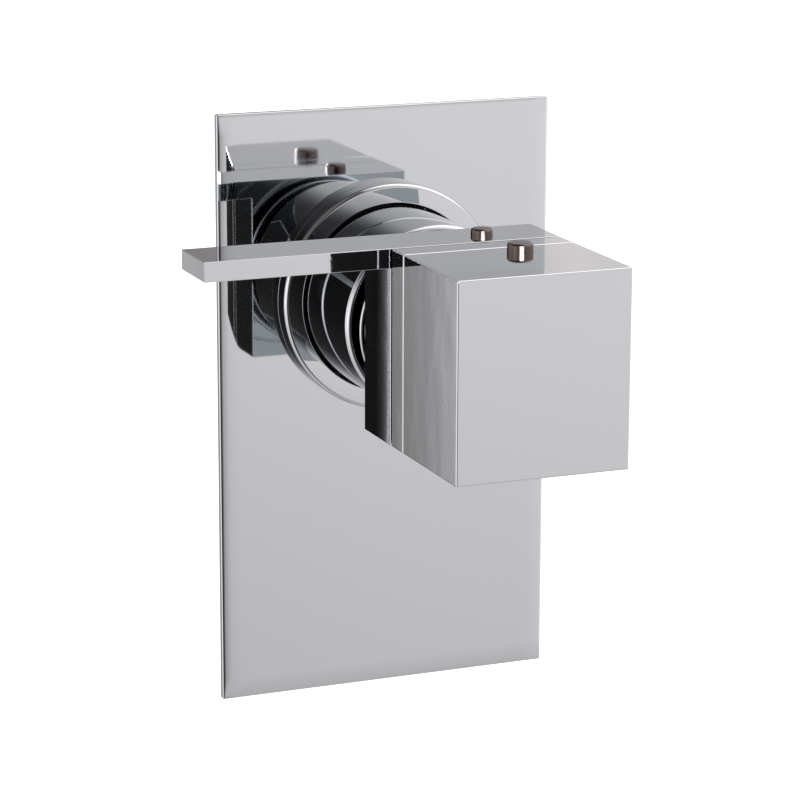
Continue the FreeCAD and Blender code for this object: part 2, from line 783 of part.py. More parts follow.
def partition_insert():
    """Wall behind the discs, with the fixed tube's seat and the guide of the adjusting nut."""
    wall = rod(partition_radius, partition_start, partition_end)
    guide = tube(guide_tube_radius, guide_tube_bore, partition_end, partition_end + guide_tube_length)
    bore = rod(stop_tube_radius + seated, partition_start - over, partition_end + over)
    body = cut(fuse(wall, guide), bore)
    for x, z in around(4, partition_port_circle, disc_port_turn):
        body = cut(body, rod(partition_port_radius, partition_start - over, partition_end + over,
                             AXIS_Y, x, 0, z))
    return body


def adjusting_nut():
    """Nut that the temperature spindle moves along the axis."""
    return tube(guide_tube_bore - running, thread_radius + running, nut_start, nut_end)


def overload_spring():
    """Short spring that gives way when the element over-travels."""
    start = nut_end + gasket_gap
    return tube(element_flange_radius, thread_radius + spring_clearance, start,
                start + overload_spring_length)


def wax_element():
    """Sensing element with its flange."""
    flange = rod(element_flange_radius, element_start, element_body_start)
    sensor = rod(element_radius, element_body_start, element_end)
    rim = edges_where(sensor, lambda p, e: near(p.y, element_end))
    sensor = sensor.makeFillet(element_tip_radius, rim)
    return fuse(flange, sensor)


def shuttle():
    """Slide that opens the hot window as it closes the cold one."""
    disc = rod(shuttle_radius, shuttle_start, shuttle_start + shuttle_disc)
    rim = tube(shuttle_radius, shuttle_radius - shuttle_wall, shuttle_start, shuttle_start + shuttle_length)
    bore = rod(element_radius + seated, shuttle_start - over, shuttle_start + shuttle_length)
    body = cut(fuse(disc, rim), bore)
    circle = (element_flange_radius + shuttle_radius - shuttle_wall) / 2
    for x, z in around(shuttle_holes, circle):
        body = cut(body, rod(shuttle_hole_radius, shuttle_start - over, shuttle_start + shuttle_disc + over,
                             AXIS_Y, x, 0, z))
    return body


def return_spring():
    """Spring that pushes the shuttle back as the element cools."""
    return tube(return_spring_radius, return_spring_radius - return_spring_wall,
                return_spring_start, end_cap_start - gasket_gap)


def cartridge_end_cap():
    """Rear cap of the cartridge, pierced for the element's tail and for the water."""
    cap = tube(cartridge_rear_bore - seated, element_radius + end_cap_tail_gap, end_cap_start, cartridge_end)
    for x, z in around(4, return_spring_radius + end_cap_hole_offset, disc_port_turn):
        cap = cut(cap, rod(end_cap_hole_radius, end_cap_start - over, cartridge_end + over, AXIS_Y, x, 0, z))
    return cap


def bonnet_nut():
    """Nut that holds the cartridge in the body."""
    skirt = rod(counterbore_radius - seated, neck_front - seated, cartridge_flange_front - gasket_gap)
    head = hexagon(bonnet_hex, bonnet_front, neck_front - seated)
    rounded = rod(bonnet_hex / 2 + bonnet_rounding, bonnet_front, neck_front - seated)
    nut = fuse(head.common(rounded), skirt)
    lip = rod(bonnet_lip_radius, bonnet_front - over, bonnet_lip_end)
    bore = rod(cartridge_radius + running, bonnet_lip_end, cartridge_flange_front)
    return cut(nut, lip, bore)


def sleeve_holder():
    """Plastic ring on the body's neck that centres the sleeve."""
    outer = sleeve_radius - sleeve_wall - seated
    ring = tube(outer, neck_radius + seated, holder_front, holder_front + holder_depth)
    notches = []
    for x, z in around(holder_notches, outer):
        notches.append(rod(holder_notch_radius, holder_front - over, holder_front + holder_depth + over,
                           AXIS_Y, x, 0, z))
    return cut(ring, *notches)


# ---- Cast body --------------------------------------------------------------------------------------
def port(axis, reach, x, y, z, radius, start=0.0):
    """Outer shape of a pipe port: a round neck with a hexagonal end."""
    neck = rod(radius, start, reach, axis, x, y, z)
    side = 1.0 if reach > 0 else -1.0
    nut = hexagon(port_hex, reach - side * port_hex_length, reach, axis, x, y, z)
    rounded = rod(port_hex / 2 + port_rounding, reach - side * port_hex_length, reach, axis, x, y, z)
    return fuse(neck, nut.common(rounded))


def port_bores(axis, reach, x=0.0, y=0.0, z=0.0):
    """Thread and channel of an outlet."""
    side = 1.0 if reach > 0 else -1.0
    inner = reach - side * port_thread_length
    thread = rod(port_thread_radius, inner, reach + side, axis, x, y, z)
    channel = rod(port_channel_radius, side * (cartridge_radius - port_channel_lead), inner, axis, x, y, z)
    return [thread, channel]


def leg_bores(side, channel_depth):
    """Thread, check valve seat and channel of an inlet leg."""
    x = side * leg_offset
    thread_end_z = -leg_reach + port_thread_length
    pocket_end = thread_end_z + check_pocket
    thread = rod(port_thread_radius, -leg_reach - over, thread_end_z, AXIS_Z, x, leg_depth)
    pocket = rod(check_bore, thread_end_z, pocket_end, AXIS_Z, x, leg_depth)
    chord = math.sqrt(cartridge_radius ** 2 - leg_offset ** 2)
    channel = rod(leg_channel_radius, pocket_end, -chord + leg_channel_lead, AXIS_Z, x, channel_depth)
    return [thread, pocket, channel]


def valve_body():
    """Cast brass body: barrel for the cartridge, two inlet legs below, outlets above and to the right."""
    barrel = turned(rod(body_radius, body_front, body_end))
    neck = turned(rod(neck_radius, neck_front, body_front))
    outer = fuse(
        barrel,
        neck,
        port(AXIS_Z, outlet_reach_top, 0, outlet_depth, 0, port_radius, port_root),
        port(AXIS_X, outlet_reach_side, 0, outlet_depth, 0, port_radius, port_root),
        port(AXIS_Z, -leg_reach, -leg_offset, leg_depth, 0, leg_radius),
        port(AXIS_Z, -leg_reach, leg_offset, leg_depth, 0, leg_radius),
        block(-leg_offset, leg_offset, leg_depth - web_half, leg_depth + web_half, -leg_reach / 2, 0),
    )
    tools = [
        turned(rod(cartridge_radius + running, main_bore_start - over, main_bore_end)),
        turned(rod(counterbore_radius, neck_front - over, main_bore_start)),
    ]
    tools += port_bores(AXIS_Z, outlet_reach_top, 0, outlet_depth, 0)
    tools += port_bores(AXIS_X, outlet_reach_side, 0, outlet_depth, 0)
    tools += leg_bores(-1, hot_channel_depth)
    tools += leg_bores(1, cold_channel_depth)
    for side in (-1, 1):
        tools.append(rod(bracket_screw_radius + seated, body_end - bracket_screw_bite, body_end + over,
                         AXIS_Y, side * bracket_screw_offset))
    return cut(outer, *tools)


# ---- Check valves and strainers ---------------------------------------------------------------------
def check_base():
    """Height of the check valve's lower end in its leg."""
    return -leg_reach + port_thread_length + strainer_length + gasket_gap


def check_body(side):
    """Housing of a check valve, with its seat below and the stem's guide above."""
    x = side * leg_offset
    low = check_base()
    high = low + check_length
    shell = tube(check_radius, check_radius - check_wall, low, high, AXIS_Z, x, leg_depth)
    seat = tube(check_radius, check_seat_radius, low, low + check_seat, AXIS_Z, x, leg_depth)
    bar = block(x - check_radius + spider_inset, x + check_radius - spider_inset,
                leg_depth - spider_half, leg_depth + spider_half, high - spider, high)
    hole = rod(poppet_stem_radius + running, high - spider - over, high + over, AXIS_Z, x, leg_depth)
    return cut(fuse(shell, seat, bar), hole)


def check_poppet(side):
    """Valve disc and stem that lift off the seat when water flows in."""
    x = side * leg_offset
    low = check_base() + check_seat + check_seat_gap
    disc = rod(poppet_radius, low, low + poppet_thickness, AXIS_Z, x, leg_depth)
    stem = rod(poppet_stem_radius, low, low + poppet_thickness + poppet_stem_length, AXIS_Z, x, leg_depth)
    return fuse(disc, stem)


def check_spring(side):
    """Light spring that closes the check valve."""
    x = side * leg_offset
    low = check_base() + check_seat + check_seat_gap + poppet_thickness
    high = check_base() + check_length - spider
    return tube(check_spring_radius, check_spring_bore, low, high, AXIS_Z, x, leg_depth)


def strainer(side):
    """Perforated cup that keeps grit out of the check valve."""
    x = side * leg_offset
    low = -leg_reach + port_thread_length
    cup = rod(check_radius, low, low + strainer_length, AXIS_Z, x, leg_depth)
    hollow = rod(check_radius - strainer_wall, low + strainer_wall, low + strainer_length + over, AXIS_Z,
                 x, leg_depth)
    cup = cut(cup, hollow)
    for ring, count in enumerate(strainer_rings):
        for i in range(max(count, 1)):
            turn = 2 * math.pi * i / max(count, 1)
            hole_x = x + ring * strainer_ring_pitch * math.cos(turn)
            hole_y = leg_depth + ring * strainer_ring_pitch * math.sin(turn)
            cup = cut(cup, rod(strainer_hole_radius, low - over, low + strainer_wall + over, AXIS_Z,
                               hole_x, hole_y))
    return cup


# ---- Bracket ----------------------------------------------------------------------------------------
def bracket():
    """Steel plate behind the body with four fixing holes."""
    x = bracket_width / 2
    z = bracket_height / 2
    start = body_end
    end = body_end + bracket_thickness
    plate = block(-x, x, start, end, -z, z)
    corners = edges_where(plate, lambda p, e: near(abs(p.x), x) and near(abs(p.z), z))
    plate = plate.makeFillet(bracket_corner, corners)
    for hole_x in (-bracket_hole_x / 2, bracket_hole_x / 2):
        for hole_z in (-bracket_hole_z / 2, bracket_hole_z / 2):
            plate = cut(plate, rod(bracket_hole_radius, start - over, end + over, AXIS_Y, hole_x, 0, hole_z))
    for side in (-1, 1):
        plate = cut(plate, rod(bracket_screw_radius + seated, start - over, end + over, AXIS_Y,
                               side * bracket_screw_offset))
    return plate


def bracket_screws():
    """Two screws that hold the bracket to the body."""
    screws = []
    for side in (-1, 1):
        x = side * bracket_screw_offset
        under = body_end + bracket_thickness
        head = rod(bracket_screw_head_radius, under, under + bracket_screw_head, AXIS_Y, x)
        rim = edges_where(head, lambda p, e: near(p.y, under + bracket_screw_head))
        head = head.makeFillet(bracket_screw_edge_radius, rim)
        shank = rod(bracket_screw_radius, under - bracket_screw_length, under, AXIS_Y, x)
        top = under + bracket_screw_head
        socket = hexagon(bracket_screw_flats, top - bracket_screw_socket, top + over, AXIS_Y, x)
        screws.append(cut(fuse(head, shank), socket))
    return Part.makeCompound(screws)


parts = {
    "wall_plate": wall_plate(),
    "plate_gasket": plate_gasket(),
    "collar": collar(),
    "collar_seal": collar_seal(),
    "sleeve": sleeve(),
    "bearing_cap": bearing_cap(),
    "sleeve_holder": sleeve_holder(),
    "flow_lever": lever(),
    "lever_set_screw": set_screw(lever_rear - lever_screw_inset, flow_extension_radius),
    "flow_button": button(flow_button_radius, flow_button_proud, lever_middle),
    "flow_button_guide": button_guide(flow_button_radius, lever_middle),
    "flow_button_spring": button_spring(flow_button_radius, lever_middle),
    "flow_stop_ring": stop_ring(flow_stop_start, flow_button_travel),
    "knob_carrier": knob_carrier(),
    "knob_shell": knob_shell(),
    "knob_screws": knob_screws(),
    "knob_set_screw": set_screw(knob_cavity_end + knob_screw_inset, rod_radius),
    "temp_button": button(temp_button_radius, temp_button_proud, temp_button_place),
    "temp_button_guide": button_guide(temp_button_radius, temp_button_place),
    "temp_button_spring": button_spring(temp_button_radius, temp_button_place),
    "temp_stop_ring": stop_ring(temp_stop_start, temp_button_travel),
    "stop_tube": stop_tube(),
    "flow_extension": flow_extension(),
    "flow_spindle": flow_spindle(),
    "spindle_clip": spindle_clip(),
    "temp_extension": temp_extension(),
    "temp_spindle": temp_spindle(),
    "tube_seals": tube_seals(),
    "rod_seal": rod_seal(),
    "cartridge_body": cartridge_body(),
    "cartridge_seals": cartridge_seals(),
    "rotating_disc": ceramic_disc(rotating_disc_start, around(2, disc_port_circle, disc_port_turn)),
    "fixed_disc": ceramic_disc(fixed_disc_start, around(4, disc_port_circle, disc_port_turn)),
    "disc_seal": disc_seal(),
    "partition_insert": partition_insert(),
    "adjusting_nut": adjusting_nut(),
    "overload_spring": overload_spring(),
    "wax_element": wax_element(),
    "shuttle": shuttle(),
    "return_spring": return_spring(),
    "cartridge_end_cap": cartridge_end_cap(),
    "bonnet_nut": bonnet_nut(),
    "valve_body": valve_body(),
    "hot_check_body": check_body(-1),
    "hot_check_poppet": check_poppet(-1),
    "hot_check_spring": check_spring(-1),
    "hot_strainer": strainer(-1),
    "cold_check_body": check_body(1),
    "cold_check_poppet": check_poppet(1),
    "cold_check_spring": check_spring(1),
    "cold_strainer": strainer(1),
    "bracket": bracket(),
    "bracket_screws": bracket_screws(),
}

os.makedirs("parts", exist_ok=True)
for name, shape in parts.items():
    shape = shape.translated(AXIS_Z * axis_height)
    shape.exportStep("parts/" + name + ".step")
    print(name, "solids", len(shape.Solids), "volume", round(shape.Volume, 1), "valid", shape.isValid())
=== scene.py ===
# %% [markdown]
# # A concealed thermostatic shower valve, dressed for its portrait
# The valve's construction comes packed from the CAD program: fifty-odd nodes that ride on eight bodies.
# This notebook loads that frame and models every piece that shows again with mesh tools, so that its edges
# catch the light as plated metal does. Polished chrome has hardly any colour of its own. What it shows is the
# room, so half of the work is the room: soft grey walls of light that the faces mirror.

import bmesh
import bpy
import json
import math
from mathutils import Matrix, Quaternion, Vector


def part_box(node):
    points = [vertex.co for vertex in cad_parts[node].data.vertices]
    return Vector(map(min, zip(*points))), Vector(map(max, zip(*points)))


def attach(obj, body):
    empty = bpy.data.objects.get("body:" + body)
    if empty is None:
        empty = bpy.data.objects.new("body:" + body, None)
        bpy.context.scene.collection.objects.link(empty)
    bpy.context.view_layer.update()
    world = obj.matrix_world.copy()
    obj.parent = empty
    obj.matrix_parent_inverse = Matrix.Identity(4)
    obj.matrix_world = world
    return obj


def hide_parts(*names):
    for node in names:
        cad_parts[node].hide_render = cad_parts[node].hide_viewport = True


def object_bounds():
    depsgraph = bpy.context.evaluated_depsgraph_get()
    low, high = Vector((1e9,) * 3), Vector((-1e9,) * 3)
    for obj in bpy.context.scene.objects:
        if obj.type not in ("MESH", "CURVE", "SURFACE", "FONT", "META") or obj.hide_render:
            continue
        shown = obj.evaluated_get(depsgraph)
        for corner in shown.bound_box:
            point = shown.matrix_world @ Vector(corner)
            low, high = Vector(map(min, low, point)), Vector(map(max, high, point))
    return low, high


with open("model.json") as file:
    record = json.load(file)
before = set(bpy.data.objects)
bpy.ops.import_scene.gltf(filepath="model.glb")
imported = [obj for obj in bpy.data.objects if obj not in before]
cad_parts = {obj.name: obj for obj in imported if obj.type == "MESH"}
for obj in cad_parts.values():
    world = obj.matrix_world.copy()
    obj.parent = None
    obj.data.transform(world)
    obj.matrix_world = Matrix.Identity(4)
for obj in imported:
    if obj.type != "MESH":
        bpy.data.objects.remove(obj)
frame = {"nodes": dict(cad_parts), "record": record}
cad_low, cad_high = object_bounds()
print("nodes:", len(frame["nodes"]))

# %% [markdown]
# ## The camera
# The photograph looks down a little from the left, with a long lens, so that the plate's sides stay nearly
# parallel. Azimuth and elevation place the camera on a sphere about a target, and the lens sets how large the
# valve is in the square picture. There is no depth of field: every edge is sharp.

# %% Camera
MM = 0.001
AZIMUTH = math.radians(-21.99)
ELEVATION = math.radians(13.986)
ROLL = math.radians(0.175)
DISTANCE = 1.05169
TARGET = Vector((5.303, -2.5, -0.825)) * MM
LENS = 139.497  # millimetres, as is the sensor's width
SENSOR = 36.0
FARTHEST = 50.0  # metres, well past the backdrop


def direction(azimuth, elevation):
    """The unit vector from the valve towards a place on the sphere round it."""
    flat = math.cos(elevation)
    return Vector((math.sin(azimuth) * flat, -math.cos(azimuth) * flat, math.sin(elevation)))


camera_data = bpy.data.cameras.new("camera")
camera_data.lens = LENS
camera_data.sensor_width = SENSOR
camera_data.clip_end = FARTHEST
camera = bpy.data.objects.new("camera", camera_data)
back = direction(AZIMUTH, ELEVATION)
camera.location = TARGET + back * DISTANCE
camera.rotation_mode = "QUATERNION"
camera.rotation_quaternion = (-back).to_track_quat("-Z", "Y") @ Quaternion((0, 0, 1), ROLL)
bpy.context.scene.collection.objects.link(camera)
bpy.context.scene.camera = camera
print("camera at", [round(v, 3) for v in camera.location])

# %% [markdown]
# ## Node helpers
# Every finish below is a small tree of shader nodes. They could be drawn by hand in the shader editor, but
# most of them repeat: a noise, a change of range, a bump. So a few helpers make such a node, set it and plug in
# what it is given, whether that is a socket or a number.

# %% Basic node helpers
MIX_SOCKETS = {"FLOAT": (2, 3, 0), "RGBA": (6, 7, 2)}  # where a mix node takes its two values and gives the result


def add_node(tree, kind, **settings):
    """A shader node with its settings made."""
    node = tree.nodes.new(kind)
    for name, value in settings.items():
        setattr(node, name, value)
    return node


def plug(tree, value, socket):
    """Links a socket, or sets a number or colour."""
    if isinstance(value, bpy.types.NodeSocket):
        tree.links.new(value, socket)
    else:
        socket.default_value = value


def math_node(tree, operation, first, second=None):
    """A maths node whose inputs are sockets or numbers."""
    node = add_node(tree, "ShaderNodeMath", operation=operation)
    plug(tree, first, node.inputs[0])
    if second is not None:
        plug(tree, second, node.inputs[1])
    return node.outputs[0]


def remap(tree, value, from_low, from_high, to_low=0.0, to_high=1.0, **settings):
    """A value carried over from one range to another."""
    node = add_node(tree, "ShaderNodeMapRange", **settings)
    plug(tree, value, node.inputs["Value"])
    limits = {"From Min": from_low, "From Max": from_high, "To Min": to_low, "To Max": to_high}
    for label, limit in limits.items():
        node.inputs[label].default_value = limit
    return node.outputs["Result"]


def mix(tree, kind, first, second, share):
    """A mix of two numbers (FLOAT) or two colours (RGBA)."""
    node = add_node(tree, "ShaderNodeMix", data_type=kind)
    first_socket, second_socket, result = MIX_SOCKETS[kind]
    plug(tree, share, node.inputs[0])
    plug(tree, first, node.inputs[first_socket])
    plug(tree, second, node.inputs[second_socket])
    return node.outputs[result]


# %% [markdown]
# A finish starts from Blender's Principled shader. Its noise is read at the object's own coordinates, so the
# pattern stays on a piece when the piece moves, and needs no unwrapping.

# %% Finish helpers


def new_material(name, inputs):
    """A material with its shader's inputs set. Gives the material, its node tree and the shader."""
    material = bpy.data.materials.new(name)
    material.use_nodes = True
    tree = material.node_tree
    shader = tree.nodes["Principled BSDF"]
    for label, value in inputs.items():
        plug(tree, value, shader.inputs[label])
    return material, tree, shader


def object_place(tree):
    """The place in the object's own coordinates."""
    return add_node(tree, "ShaderNodeTexCoord").outputs["Object"]


def noise(tree, where, scale, detail=2.0):
    """The value of a noise at a place. The scale is in waves per metre."""
    texture = add_node(tree, "ShaderNodeTexNoise")
    texture.inputs["Scale"].default_value = scale
    texture.inputs["Detail"].default_value = detail
    tree.links.new(where, texture.inputs["Vector"])
    return texture.outputs["Fac"]


def bend(tree, shader, height, strength, depth):
    """Bends the shading by a height, as if the surface had that relief."""
    bump = add_node(tree, "ShaderNodeBump")
    bump.inputs["Strength"].default_value = strength
    bump.inputs["Distance"].default_value = depth
    tree.links.new(height, bump.inputs["Height"])
    tree.links.new(bump.outputs["Normal"], shader.inputs["Normal"])


# %% [markdown]
# ## The studio
# The real studio stood white and grey cards round the valve, out of the picture, and left a dark gap for the
# camera. Here the world does that: a dome of light whose brightness depends on the direction alone. It is
# drawn as a room: one ramp goes round the walls, one round the ceiling and one round the ground, and a fourth
# makes the walls brightest at eye level. Real lamps and cards would do as well, but a dome has no falloff, so
# a flat face mirrors it evenly, as it mirrors a large card that stands far off.

# %% Brightness by direction
BRIGHTEST = 2.0
HALF_TURN = 180
# azimuth from the valve's front towards its right, and brightness
WALLS = (
    (-166, 0.62), (-162, 0.53), (-159.6, 0.20), (-158, 0.15), (-157.1, 0.50), (-156.5, 0.72), (-145, 1.00),
    (-80, 1.05), (-72, 2.00), (-64, 1.05), (-42, 0.85), (-34, 0.36), (-29, 0.06), (-24, 0.01), (-4, 0.05),
    (4, 0.22), (12, 0.74), (22, 0.83), (32, 0.87), (50, 0.98), (75, 1.10), (125, 1.05), (152.5, 0.97),
    (153.5, 0.76), (154.5, 0.93), (155.5, 0.74), (158.5, 0.80), (160.5, 0.36), (163, 0.26), (175, 0.32),
)
CEILING = (
    (-175, 0.60), (-150, 0.40), (-100, 0.15), (-60, 0.15), (-30, 0.20), (0, 0.06), (15, 0.50), (30, 0.92),
    (60, 1.90), (115, 1.90), (145, 0.88),
)
GROUND = (
    (-150, 0.50), (-100, 0.65), (-60, 0.80), (-30, 0.60), (0, 0.50), (30, 0.65), (110, 0.70), (150, 0.75),
)
# elevation and share of the walls' brightness
EYE_LEVEL = (
    (-30, 0.78), (-20, 0.91), (-16, 1.01), (-13, 1.09), (-9, 1.16), (0, 1.17), (8, 0.98), (14, 0.88), (25, 0.86),
)
# elevations between which the walls turn into the ceiling and into the ground
TO_CEILING = (14, 34)
TO_GROUND = (-28, -50)
LIGHT_TINT = (1.0, 0.935, 0.94, 1.0)
print("dome stops:", len(WALLS) + len(CEILING) + len(GROUND))

# %% [markdown]
# A colour ramp turns an angle into a brightness. Its stops are stored as shares of the brightest value, as plain
# greys from black to white, and a multiplication brings the brightness back. It holds 32 stops at most, and the
# walls use them all. A ramp doesn't close on itself, so one that goes all round gets a stop of the same value at
# either end.

# %% Studio dome
scene = bpy.context.scene
scene.view_settings.view_transform = "Standard"
scene.view_settings.look = "None"
world = bpy.data.worlds.new("studio")
scene.world = world
world.use_nodes = True
dome = world.node_tree
dome.nodes.clear()


def ramp(tree, angle, stops):
    """Brightness along an angle in degrees, from the first stop to the last."""
    low, high = stops[0][0], stops[-1][0]
    colors = add_node(tree, "ShaderNodeValToRGB")
    plug(tree, remap(tree, angle, low, high), colors.inputs["Fac"])
    while len(colors.color_ramp.elements) < len(stops):
        colors.color_ramp.elements.new(1.0)
    for element, (place, value) in zip(colors.color_ramp.elements, stops):
        share = value / BRIGHTEST
        element.position = (place - low) / (high - low)
        element.color = (share, share, share, 1.0)
    return math_node(tree, "MULTIPLY", colors.outputs["Color"], BRIGHTEST)


def full_circle(tree, angle, stops):
    """A ramp whose two ends meet behind the valve."""
    closing = (stops[0][1] + stops[-1][1]) / 2
    return ramp(tree, angle, [(-HALF_TURN, closing), *stops, (HALF_TURN, closing)])


ray = add_node(dome, "ShaderNodeSeparateXYZ")
dome.links.new(add_node(dome, "ShaderNodeTexCoord").outputs["Generated"], ray.inputs[0])
right, inward, rise = ray.outputs
outward = math_node(dome, "MULTIPLY", inward, -1.0)
around = math_node(dome, "DEGREES", math_node(dome, "ARCTAN2", right, outward))
height = math_node(dome, "DEGREES", math_node(dome, "ARCSINE", rise))
walls = math_node(dome, "MULTIPLY", full_circle(dome, around, WALLS), ramp(dome, height, EYE_LEVEL))
brightness = mix(dome, "FLOAT", walls, full_circle(dome, around, CEILING),
                 remap(dome, height, *TO_CEILING, interpolation_type="SMOOTHSTEP"))
brightness = mix(dome, "FLOAT", brightness, full_circle(dome, around, GROUND),
                 remap(dome, height, *TO_GROUND, interpolation_type="SMOOTHSTEP"))
sky = add_node(dome, "ShaderNodeBackground")
sky.inputs["Color"].default_value = LIGHT_TINT
dome.links.new(brightness, sky.inputs["Strength"])
dome.links.new(sky.outputs[0], add_node(dome, "ShaderNodeOutputWorld").inputs[0])
print("dome nodes:", len(dome.nodes))

# %% [markdown]
# The floor and the backdrop are plain and white. They show to the camera alone: the chrome would mirror them
# from every side, and the cards of the dome could not be told from them.

# %% Floor and backdrop
FLOOR_DROP = 0.45
FLOOR_HALF = 12.0
FLOOR_CELLS = 8
BACKDROP_STEPS = 5
FLOOR_GLOW = 0.75
BACKDROP_GLOW = 1.0
WHITE = (0.97, 0.97, 0.97, 1.0)
PALE_ROUGHNESS = 0.9
PALE_SHINE = 0.1
PALE_GRAIN = 3.0
PALE_RANGE = (0.93, 0.97)


def pale_material(name, glow):
    """A plain pale surface with a faint grain, which glows a little so that it stays white."""
    material, tree, shader = new_material(name, {
        "Roughness": PALE_ROUGHNESS, "Specular IOR Level": PALE_SHINE,
        "Emission Color": WHITE, "Emission Strength": glow,
    })
    grain = noise(tree, object_place(tree), PALE_GRAIN)
    plug(tree, remap(tree, grain, 0.0, 1.0, *PALE_RANGE), shader.inputs["Base Color"])
    return material


def stage_piece(name, bm, material):
    """A floor or backdrop: seen by the camera and by nothing else."""
    mesh = bpy.data.meshes.new(name)
    bm.to_mesh(mesh)
    bm.free()
    mesh.materials.append(material)
    piece = bpy.data.objects.new(name, mesh)
    scene.collection.objects.link(piece)
    piece.visible_glossy = False
    piece.visible_diffuse = False
    piece.visible_shadow = False


bm = bmesh.new()
bmesh.ops.create_grid(bm, x_segments=FLOOR_CELLS, y_segments=FLOOR_CELLS, size=FLOOR_HALF)
bmesh.ops.translate(bm, verts=bm.verts, vec=(0, 0, cad_low.z - FLOOR_DROP))
stage_piece("floor", bm, pale_material("pale_floor", FLOOR_GLOW))
bm = bmesh.new()
bmesh.ops.create_icosphere(bm, subdivisions=BACKDROP_STEPS, radius=FLOOR_HALF)
bmesh.ops.reverse_faces(bm, faces=bm.faces)
stage_piece("backdrop", bm, pale_material("pale_backdrop", BACKDROP_GLOW))
print("floor at", round(cad_low.z - FLOOR_DROP, 3))

# %% [markdown]
# ## Chrome
# Chrome plate is a mirror with a cool tint that gives back about two thirds of the light. Two mirrors in a row
# show this well: what has bounced twice is darker and bluer. It isn't quite perfect: the plating follows the
# casting's fine waviness, and wiping leaves a haze that spreads the light a little. So the roughness wanders
# between two low values, and a slow noise bends the surface by a hair. The handles' sides show fine upright
# streaks in the photograph. Their cause can't be seen, and a noise that is stretched upwards draws them.

# %% Chrome finish
CHROME_TINT = (0.63, 0.665, 0.685, 1.0)
NICKEL_TINT = (0.14, 0.112, 0.104, 1.0)
STREAK_SCALE = (110.0, 110.0, 45.0)  # streaks about 9 mm wide and 22 mm long
NOISE_RANGE = (0.3, 0.7)  # a noise seldom leaves it
GRAIN_DETAIL = 4.0
WAVE_DETAIL = 2.0
STREAK_DETAIL = 1.0
WAVE_DEPTH = 0.02 * MM


def metal(name, tint, smooth, rough, grain_size, wave, wave_size, streaks=0.0):
    """A metal whose roughness wanders, with waviness and optional upright streaks. Sizes in millimetres."""
    material, tree, shader = new_material(name, {"Metallic": 1.0, "Base Color": tint})
    where = object_place(tree)
    grain = noise(tree, where, 1.0 / (grain_size * MM), GRAIN_DETAIL)
    plug(tree, remap(tree, grain, *NOISE_RANGE, smooth, rough), shader.inputs["Roughness"])
    relief = noise(tree, where, 1.0 / (wave_size * MM), WAVE_DETAIL)
    if streaks:
        drawn = add_node(tree, "ShaderNodeMapping")
        drawn.inputs["Scale"].default_value = STREAK_SCALE
        tree.links.new(where, drawn.inputs["Vector"])
        streak = noise(tree, drawn.outputs[0], 1.0, STREAK_DETAIL)
        relief = math_node(tree, "ADD", relief, math_node(tree, "MULTIPLY", streak, streaks))
    bend(tree, shader, relief, wave, WAVE_DEPTH)
    return material


chrome = metal("chrome", CHROME_TINT, 0.02, 0.045, 9.0, wave=0.25, wave_size=7.0)
chrome_cast = metal("chrome_cast", CHROME_TINT, 0.02, 0.045, 9.0, wave=0.2, wave_size=0.9, streaks=4.0)
# the bearing cap's chrome; its painted shade is added where the cap is made
chrome_painted_shade = metal("chrome_painted_shade", CHROME_TINT, 0.04, 0.07, 9.0, wave=0.25, wave_size=7.0)
chrome_plate = metal("chrome_plate", CHROME_TINT, 0.02, 0.05, 20.0, wave=0.2, wave_size=25.0)
satin_nickel = metal("satin_nickel", NICKEL_TINT, 0.12, 0.18, 2.0, wave=0.12, wave_size=2.5)
print("metals:", chrome.name, chrome_cast.name, chrome_painted_shade.name, chrome_plate.name, satin_nickel.name)

# %% [markdown]
# ## Turned pieces
# Collar, sleeve, cap and buttons are all turned on a lathe. A lathe part is a profile spun about its axis, and
# so is its mesh: the profile is drawn as one flat face, its corners are rounded with a vertex bevel, and the
# outline is spun a full turn. Building it from stacked cylinders would leave seams where they meet.

# %% Turning helpers
STEPS = 160
ROUND_STEPS = 5
CIRCULAR = 0.5  # the bevel profile that is a circle's arc
SHARP = math.radians(35)
WELD = 1e-7
ALONG = (0, 1, 0)
UP = (0, 0, 1)


def show(name, bm, body, material, nodes):
    """Makes the piece an object, shades it, attaches it to its body and hides the nodes it replaces."""
    mesh = bpy.data.meshes.new(name)
    bm.to_mesh(mesh)
    bm.free()
    mesh.materials.append(material)
    mesh.shade_smooth()
    mesh.set_sharp_from_angle(angle=SHARP)
    piece = bpy.data.objects.new(name, mesh)
    scene.collection.objects.link(piece)
    piece.modifiers.new("weighted_normals", "WEIGHTED_NORMAL").keep_sharp = True
    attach(piece, body)
    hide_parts(*nodes)
    print(name, "faces:", len(mesh.polygons))
    return piece


def turned(profile, centre, axis, steps=STEPS):
    """A lathe part. The profile holds (radius, place along the axis, corner rounding)."""
    axis = Vector(axis)
    outward = Vector((1, 0, 0))
    bm = bmesh.new()
    corners = [bm.verts.new(centre + outward * radius + axis * place) for radius, place, _ in profile]
    bm.faces.new(corners)
    for vert, (_, _, rounding) in zip(corners, profile):
        if rounding:
            bmesh.ops.bevel(bm, geom=[vert], offset=rounding, offset_type="OFFSET", segments=ROUND_STEPS,
                            profile=CIRCULAR, affect="VERTICES", material=-1)
    bmesh.ops.delete(bm, geom=bm.faces[:], context="FACES_ONLY")
    bmesh.ops.spin(bm, geom=bm.verts[:] + bm.edges[:], cent=centre, axis=axis, angle=math.tau,
                   steps=steps, use_merge=True)
    bmesh.ops.remove_doubles(bm, verts=bm.verts, dist=WELD)
    bmesh.ops.recalc_face_normals(bm, faces=bm.faces)
    return bm


def span(node):
    """Outer radius, front and rear of a round node on the valve's axis."""
    low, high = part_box(node)
    return (high.x - low.x) / 2, low.y, high.y


# %% [markdown]
# The collar hides the hole in the wall plate. It is a turned ring, chromed, and its round front edge
# mirrors a bright arc of the room. Its bore is wider than the sleeve, which leaves a dark slot between them.

